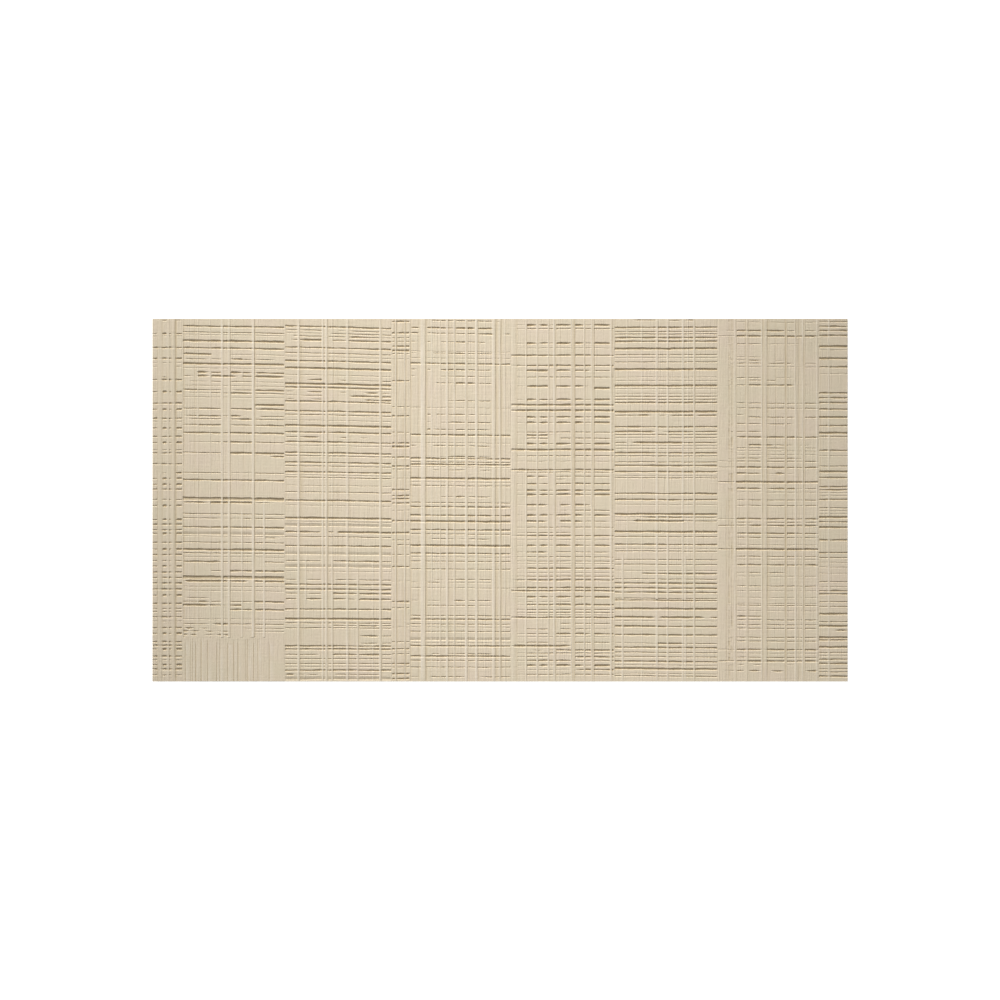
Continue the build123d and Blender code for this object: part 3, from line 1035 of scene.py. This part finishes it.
def add_back(sheet, left, right, top, bottom):
    """The cut edges and the flat back, under the four sides of the face."""
    loop = np.concatenate([left, bottom[1:], right[::-1][1:], top[::-1][1:-1]])
    places = np.array([sheet.points[i] for i in loop])
    along = (places[:, 0] - SHEET_LOW.x) / MM
    across = (SHEET_HIGH.y - places[:, 1]) / MM
    under = sheet.add_points(along, across, 0.0)
    following = np.roll(under, -1)
    walls = list(zip(under.tolist(), following.tolist(), np.roll(loop, -1).tolist(), loop.tolist()))
    corner = np.cumsum([0, len(left) - 1, len(bottom) - 1, len(right) - 1, len(top) - 1])
    for side, start, end in zip((sheet.LEFT, sheet.BOTTOM, sheet.RIGHT, sheet.TOP), corner, corner[1:]):
        sheet.add_faces(walls[start:end], side)
    grid_along = np.linspace(BACK_INSET, LENGTH_MM - BACK_INSET, BACK_COLUMNS)
    grid_across = np.linspace(BACK_INSET, WIDTH_MM - BACK_INSET, BACK_ROWS)
    rows = np.repeat(grid_across[:, None], len(grid_along), axis=1)
    back = sheet.add_points(grid_along, rows, 0.0)
    sheet.add_grid(back, SheetMesh.BACK)
    under_left = under[: corner[1] + 1]
    under_bottom = under[corner[1] : corner[2] + 1]
    under_right = under[corner[2] : corner[3] + 1][::-1]
    under_top = np.append(under[corner[3] :], under[0])[::-1]
    sheet.add_zip(under_left, back[:, 0], 1, SheetMesh.BACK)
    sheet.add_zip(under_bottom, back[-1], 0, SheetMesh.BACK)
    sheet.add_zip(back[:, -1], under_right, 1, SheetMesh.BACK)
    sheet.add_zip(back[0], under_top, 0, SheetMesh.BACK)


def gather_sheet(settings):
    """The whole closed sheet."""
    rng = np.random.default_rng(settings.seed)
    sheet = SheetMesh()
    lefts, rights, tops, bottoms = [], [], [], []
    for band in BANDS:
        blocks = [add_woven_block(sheet, band, settings, rng)]
        if band.strokes:
            blocks.append(add_combed_block(sheet, band, settings, rng))
            sheet.add_zip(blocks[1][0], blocks[0][-1], 0, SheetMesh.FACE)
        lefts.append(np.concatenate([ids[:, 0] for ids in blocks]))
        rights.append(np.concatenate([ids[:, -1] for ids in blocks]))
        tops.append(blocks[0][0])
        bottoms.append(blocks[-1][-1])
    for right, left in zip(rights, lefts[1:]):
        sheet.add_zip(right, left, 1, SheetMesh.FACE)
    add_back(sheet, lefts[0], rights[-1], np.concatenate(tops), np.concatenate(bottoms))
    return sheet


def lay_out_baking(mesh, sides):
    """A UV map for baked textures, with the face, the back and the four cut edges flat beside each other."""
    sheet_span = 0.94
    left_strip, right_strip = 0.95, 0.96
    margin = 0.003
    scale = sheet_span / (SHEET_HIGH.x - SHEET_LOW.x)
    corners = np.empty(len(mesh.loops), dtype=np.int32)
    mesh.loops.foreach_get("vertex_index", corners)
    sizes = np.empty(len(mesh.polygons), dtype=np.int32)
    mesh.polygons.foreach_get("loop_total", sizes)
    points = np.empty(3 * len(mesh.vertices), dtype=np.float32)
    mesh.vertices.foreach_get("co", points)
    along, across, up = ((points.reshape(-1, 3)[corners] - np.array(SHEET_LOW)) * scale).T
    side = np.repeat(sides, sizes)
    tall = (SHEET_HIGH.y - SHEET_LOW.y) * scale
    corner_of_side = {
        SheetMesh.FACE: (along, across, 0.0, 0.0),
        SheetMesh.BACK: (along, across, 0.0, tall + margin),
        SheetMesh.TOP: (along, up, 0.0, 2 * tall + 2 * margin),
        SheetMesh.BOTTOM: (along, up, 0.0, 2 * tall + 4 * margin),
        SheetMesh.LEFT: (up, across, left_strip, 0.0),
        SheetMesh.RIGHT: (up, across, right_strip, 0.0),
    }
    places = np.zeros((len(corners), 2))
    for kind, (first, second, left, low) in corner_of_side.items():
        chosen = side == kind
        places[chosen, 0] = first[chosen] + left + margin
        places[chosen, 1] = second[chosen] + low + margin
    mesh.uv_layers.new(name="OFBake").data.foreach_set("uv", places.ravel())


# Materials


def new_material(name):
    """A material with an empty node tree and a Principled shader; returns it with its tree and shader."""
    material = bpy.data.materials.new(name)
    material.use_nodes = True
    tree = material.node_tree
    tree.nodes.clear()
    output = tree.nodes.new("ShaderNodeOutputMaterial")
    shader = tree.nodes.new("ShaderNodeBsdfPrincipled")
    tree.links.new(shader.outputs["BSDF"], output.inputs["Surface"])
    return material, tree, shader


def add_node(tree, kind, **values):
    """A node with its properties and unlinked inputs set."""
    node = tree.nodes.new(kind)
    for name, value in values.items():
        if hasattr(node, name):
            setattr(node, name, value)
        else:
            node.inputs[name.replace("_", " ")].default_value = value
    return node


def stretched_noise(tree, places, scale, detail=3.0):
    """Noise that is stretched by a scale of its own along each axis; returns its value."""
    mapping = add_node(tree, "ShaderNodeMapping", Scale=scale)
    noise = add_node(tree, "ShaderNodeTexNoise", Scale=1.0, Detail=detail)
    tree.links.new(places, mapping.inputs["Vector"])
    tree.links.new(mapping.outputs["Vector"], noise.inputs["Vector"])
    return noise.outputs["Fac"]


def mixed_colour(tree, share, first, second, blend="MIX"):
    """A mix of two colours by a share; each is a socket or a plain colour."""
    mix = add_node(tree, "ShaderNodeMix", data_type="RGBA", blend_type=blend)
    for value, socket in ((share, mix.inputs[0]), (first, mix.inputs[6]), (second, mix.inputs[7])):
        if isinstance(value, bpy.types.NodeSocket):
            tree.links.new(value, socket)
        elif isinstance(value, float):
            socket.default_value = value
        else:
            socket.default_value = (*value, 1.0)
    return mix.outputs[2]


def ranged(tree, value, low, high, to_low=0.0, to_high=1.0):
    """A value mapped from one range to another, and held at its ends."""
    node = add_node(tree, "ShaderNodeMapRange")
    tree.links.new(value, node.inputs["Value"])
    for name, number in (("From Min", low), ("From Max", high), ("To Min", to_low), ("To Max", to_high)):
        node.inputs[name].default_value = number
    return node.outputs["Result"]


def sandy_grain_group():
    """Fine mineral grain: a speckle mask and a height, both from 0 to 1."""
    group = bpy.data.node_groups.new("Sandy grain", "ShaderNodeTree")
    group.interface.new_socket("Places", in_out="INPUT", socket_type="NodeSocketVector")
    scale = group.interface.new_socket("Scale", in_out="INPUT", socket_type="NodeSocketFloat")
    scale.default_value = 700.0
    group.interface.new_socket("Speckle", in_out="OUTPUT", socket_type="NodeSocketFloat")
    group.interface.new_socket("Height", in_out="OUTPUT", socket_type="NodeSocketFloat")
    inputs = group.nodes.new("NodeGroupInput")
    outputs = group.nodes.new("NodeGroupOutput")
    grain = add_node(group, "ShaderNodeTexNoise", Detail=4.0, Roughness=0.6)
    group.links.new(inputs.outputs["Places"], grain.inputs["Vector"])
    group.links.new(inputs.outputs["Scale"], grain.inputs["Scale"])
    group.links.new(ranged(group, grain.outputs["Fac"], 0.3, 0.7), outputs.inputs["Speckle"])
    group.links.new(grain.outputs["Fac"], outputs.inputs["Height"])
    return group


def place_grain(tree, group, places, scale):
    """Places the grain group in a material with its own scale."""
    node = tree.nodes.new("ShaderNodeGroup")
    node.node_tree = group
    node.inputs["Scale"].default_value = scale
    tree.links.new(places, node.inputs["Places"])
    return node


def bumped(tree, height, strength, distance, before=None):
    """A bump of a height given in metres of distance, on top of another bump if there is one."""
    bump = add_node(tree, "ShaderNodeBump", Strength=strength, Distance=distance)
    tree.links.new(height, bump.inputs["Height"])
    if before is not None:
        tree.links.new(before, bump.inputs["Normal"])
    return bump.outputs["Normal"]


def make_face_material(colours, grain):
    """Matt beige stone with faint thread lines and rosy and olive patches, with painted shade in the grooves
    and thin cuts and painted highlights on the cords' left shoulders and the strokes' right walls.
    """
    material, tree, shader = new_material("woven_stone_face")
    places = tree.nodes.new("ShaderNodeTexCoord").outputs["Object"]
    sand = place_grain(tree, grain, places, 600.0)
    patches = stretched_noise(tree, places, (14.0, 20.0, 14.0))
    threads = stretched_noise(tree, places, (25.0, 420.0, 1.0), 2.0)
    scratches = stretched_noise(tree, places, (520.0, 18.0, 1.0), 2.0)
    blotches = stretched_noise(tree, places, (210.0, 260.0, 1.0), 3.0)
    groove_shade_and_grain = add_node(tree, "ShaderNodeAttribute", attribute_name="groove_shade_and_grain").outputs["Fac"]
    rut = add_node(tree, "ShaderNodeAttribute", attribute_name="rut").outputs["Fac"]
    painted_highlight = add_node(tree, "ShaderNodeAttribute", attribute_name="painted_highlight").outputs["Fac"]
    colour = mixed_colour(tree, ranged(tree, patches, 0.5, 0.68), colours.face, colours.rosy)
    colour = mixed_colour(tree, ranged(tree, patches, 0.5, 0.34), colour, colours.olive)
    speckle = ranged(tree, sand.outputs["Speckle"], 0.0, 1.0, 0.0, 0.12)
    colour = mixed_colour(tree, speckle, colour, colours.groove_shade_and_grain)
    colour = mixed_colour(tree, ranged(tree, blotches, 0.42, 0.7, 0.0, 0.14), colour, colours.groove_shade_and_grain)
    # painted highlight on the cords' left shoulders and the strokes' right walls
    colour = mixed_colour(tree, ranged(tree, painted_highlight, 0.0, 1.0, 0.0, 0.6), colour, colours.painted_highlight)
    # painted shade along the thin upright cuts and down the middle of the strokes
    colour = mixed_colour(tree, ranged(tree, rut, 0.0, 1.2), colour, colours.groove_shade_and_grain)
    # painted shade in the grooves and strokes, darker with depth and made patchy by the blotches
    patchy_groove_shade = add_node(tree, "ShaderNodeMath", operation="MULTIPLY")
    tree.links.new(groove_shade_and_grain, patchy_groove_shade.inputs[0])
    tree.links.new(ranged(tree, blotches, 0.35, 0.65, 0.55, 1.25), patchy_groove_shade.inputs[1])
    colour = mixed_colour(tree, ranged(tree, patchy_groove_shade.outputs[0], 0.05, 0.95), colour, colours.groove_shade_and_grain)
    tree.links.new(colour, shader.inputs["Base Color"])
    shader.inputs["Roughness"].default_value = 0.85
    shader.inputs["Specular IOR Level"].default_value = 0.25
    normal = bumped(tree, threads, 0.35, 0.0006)
    normal = bumped(tree, scratches, 1.0, 0.001, normal)
    normal = bumped(tree, blotches, 0.5, 0.0004, normal)
    normal = bumped(tree, sand.outputs["Height"], 0.35, 0.0004, normal)
    tree.links.new(normal, shader.inputs["Normal"])
    return material


def make_back_material(colours, grain):
    """Plain rough back, greyer than the face."""
    material, tree, shader = new_material("plain_stone_back")
    places = tree.nodes.new("ShaderNodeTexCoord").outputs["Object"]
    sand = place_grain(tree, grain, places, 350.0)
    patches = stretched_noise(tree, places, (9.0, 9.0, 9.0), 5.0)
    colour = mixed_colour(tree, ranged(tree, patches, 0.35, 0.65, 0.0, 0.5), colours.back, colours.face)
    speckle = ranged(tree, sand.outputs["Speckle"], 0.0, 1.0, 0.0, 0.25)
    colour = mixed_colour(tree, speckle, colour, colours.groove_shade_and_grain)
    tree.links.new(colour, shader.inputs["Base Color"])
    shader.inputs["Roughness"].default_value = 0.92
    shader.inputs["Specular IOR Level"].default_value = 0.2
    tree.links.new(bumped(tree, sand.outputs["Height"], 0.5, 0.0008), shader.inputs["Normal"])
    return material


# Pieces and stage


class STONEPANEL_OT_make_sheet(bpy.types.Operator):
    """Build the stone sheet with its woven face, cut edges and plain back"""

    bl_idname = "stonepanel.make_sheet"
    bl_label = "Make Sheet"

    def execute(self, context):
        settings = context.scene.stonepanel_sheet
        colours = context.scene.stonepanel_colours
        gathered = gather_sheet(settings)
        mesh = bpy.data.meshes.new("woven_stone_sheet")
        mesh.from_pydata(gathered.points, [], gathered.faces)
        mesh.polygons.foreach_set("material_index", [int(side == SheetMesh.BACK) for side in gathered.sides])
        marks = (("groove_shade_and_grain", gathered.painted_groove_shades), ("rut", gathered.ruts), ("painted_highlight", gathered.painted_highlight))
        for name, values in marks:
            mesh.attributes.new(name, "FLOAT", "POINT").data.foreach_set("value", values)
        mesh.update()
        lay_out_baking(mesh, gathered.sides)
        mesh.shade_smooth()
        mesh.set_sharp_from_angle(angle=settings.sharp_angle)
        grain = sandy_grain_group()
        mesh.materials.append(make_face_material(colours, grain))
        mesh.materials.append(make_back_material(colours, grain))
        sheet = bpy.data.objects.new("woven_stone_sheet", mesh)
        context.scene.collection.objects.link(sheet)
        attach(sheet, "root")
        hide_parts(SHEET_NODE)
        return {"FINISHED"}


def make_floor_material(settings):
    """Matt and pale, glowing white to the camera, and clear from below."""
    glow_strength = 0.8
    material, tree, shader = new_material("pale_floor")
    shader.inputs["Base Color"].default_value = (*settings.floor, 1.0)
    shader.inputs["Roughness"].default_value = 1.0
    shader.inputs["Specular IOR Level"].default_value = 0.0
    path = tree.nodes.new("ShaderNodeLightPath")
    seen = add_node(tree, "ShaderNodeMath", operation="MAXIMUM")
    mirrored = add_node(tree, "ShaderNodeMath", operation="MAXIMUM")
    tree.links.new(path.outputs["Is Glossy Ray"], mirrored.inputs[0])
    tree.links.new(path.outputs["Is Transmission Ray"], mirrored.inputs[1])
    tree.links.new(path.outputs["Is Camera Ray"], seen.inputs[0])
    tree.links.new(mirrored.outputs[0], seen.inputs[1])
    glow = add_node(tree, "ShaderNodeMath", operation="MULTIPLY")
    tree.links.new(seen.outputs[0], glow.inputs[0])
    glow.inputs[1].default_value = glow_strength
    emission = tree.nodes.new("ShaderNodeEmission")
    tree.links.new(glow.outputs[0], emission.inputs["Strength"])
    both = tree.nodes.new("ShaderNodeAddShader")
    tree.links.new(shader.outputs["BSDF"], both.inputs[0])
    tree.links.new(emission.outputs["Emission"], both.inputs[1])
    clear = tree.nodes.new("ShaderNodeBsdfTransparent")
    side_mix = tree.nodes.new("ShaderNodeMixShader")
    tree.links.new(tree.nodes.new("ShaderNodeNewGeometry").outputs["Backfacing"], side_mix.inputs["Fac"])
    tree.links.new(both.outputs["Shader"], side_mix.inputs[1])
    tree.links.new(clear.outputs["BSDF"], side_mix.inputs[2])
    output = next(node for node in tree.nodes if node.type == "OUTPUT_MATERIAL")
    tree.links.new(side_mix.outputs["Shader"], output.inputs["Surface"])
    return material


def make_floor(context, settings):
    """A wide floor, open under the sheet so that light reaches its back."""
    far = 15.0
    inset = 0.5 * MM
    drop = 0.2 * MM
    left, right = SHEET_LOW.x + inset, SHEET_HIGH.x - inset
    low, high = SHEET_LOW.y + inset, SHEET_HIGH.y - inset
    outer = [(-far, -far, 0), (far, -far, 0), (far, far, 0), (-far, far, 0)]
    inner = [(left, low, 0), (right, low, 0), (right, high, 0), (left, high, 0)]
    mesh = bpy.data.meshes.new("floor")
    mesh.from_pydata(outer + inner, [], [(0, 1, 5, 4), (1, 2, 6, 5), (2, 3, 7, 6), (3, 0, 4, 7)])
    mesh.materials.append(make_floor_material(settings))
    floor = bpy.data.objects.new("floor", mesh)
    floor.location.z = SHEET_LOW.z - drop
    context.scene.collection.objects.link(floor)


def make_world(context, settings):
    """Even light from all round, which the camera sees as white."""
    world = bpy.data.worlds.new("studio")
    context.scene.world = world
    world.use_nodes = True
    tree = world.node_tree
    background = next(node for node in tree.nodes if node.type == "BACKGROUND")
    background.inputs["Color"].default_value = (1.0, 1.0, 1.0, 1.0)
    path = tree.nodes.new("ShaderNodeLightPath")
    strength = tree.nodes.new("ShaderNodeMapRange")
    tree.links.new(path.outputs["Is Camera Ray"], strength.inputs["Value"])
    strength.inputs["To Min"].default_value = settings.fill
    strength.inputs["To Max"].default_value = 1.0
    tree.links.new(strength.outputs["Result"], background.inputs["Strength"])


def make_key_lamp(context, settings):
    """A soft spot lamp beyond the sheet's top edge, a little to the left."""
    lamp = bpy.data.lights.new("key_lamp", "SPOT")
    lamp.energy = settings.key_power
    lamp.shadow_soft_size = settings.key_size
    lamp.spot_size = settings.key_beam
    lamp.spot_blend = 1.0
    key = bpy.data.objects.new("key_lamp", lamp)
    level = math.cos(settings.key_height) * settings.key_distance
    key.location = (
        -math.sin(settings.key_turn) * level,
        math.cos(settings.key_turn) * level,
        math.sin(settings.key_height) * settings.key_distance,
    )
    key.rotation_euler = (Vector(settings.key_aim) - key.location).to_track_quat("-Z", "Y").to_euler()
    context.scene.collection.objects.link(key)


def make_camera(context, settings):
    """A long lens straight above the sheet, with the sheet's top edge up."""
    data = bpy.data.cameras.new("camera")
    data.lens = settings.lens
    camera = bpy.data.objects.new("camera", data)
    reach = settings.picture_width * settings.lens / data.sensor_width
    camera.location = (0.0, 0.0, SHEET_HIGH.z + reach)
    context.scene.collection.objects.link(camera)
    context.scene.camera = camera


class STONEPANEL_OT_make_stage(bpy.types.Operator):
    """Set up the floor, the light and the camera"""

    bl_idname = "stonepanel.make_stage"
    bl_label = "Make Stage"

    def execute(self, context):
        settings = context.scene.stonepanel_stage
        make_floor(context, settings)
        make_world(context, settings)
        make_key_lamp(context, settings)
        make_camera(context, settings)
        context.scene.view_settings.view_transform = "Standard"
        return {"FINISHED"}


class STONEPANEL_PT_panel(bpy.types.Panel):
    """Lists the panel's settings and operators"""

    bl_idname = "STONEPANEL_PT_panel"
    bl_label = "Stone Panel"
    bl_space_type = "VIEW_3D"
    bl_region_type = "UI"
    bl_category = "Stone Panel"

    def draw(self, context):
        scene = context.scene
        for operator, group in (
            (STONEPANEL_OT_make_sheet, scene.stonepanel_sheet),
            (STONEPANEL_OT_make_sheet, scene.stonepanel_colours),
            (STONEPANEL_OT_make_stage, scene.stonepanel_stage),
        ):
            box = self.layout.box()
            for name in group.__annotations__:
                box.prop(group, name)
            box.operator(operator.bl_idname)


CLASSES = (
    SheetSettings,
    ColourSettings,
    StageSettings,
    STONEPANEL_OT_make_sheet,
    STONEPANEL_OT_make_stage,
    STONEPANEL_PT_panel,
)


def register():
    for cls in CLASSES:
        bpy.utils.register_class(cls)
    bpy.types.Scene.stonepanel_sheet = PointerProperty(type=SheetSettings)
    bpy.types.Scene.stonepanel_colours = PointerProperty(type=ColourSettings)
    bpy.types.Scene.stonepanel_stage = PointerProperty(type=StageSettings)


def unregister():
    del bpy.types.Scene.stonepanel_stage
    del bpy.types.Scene.stonepanel_colours
    del bpy.types.Scene.stonepanel_sheet
    for cls in reversed(CLASSES):
        bpy.utils.unregister_class(cls)


def main():
    register()
    bpy.ops.stonepanel.make_sheet()
    bpy.ops.stonepanel.make_stage()


if __name__ == "__main__":
    main()
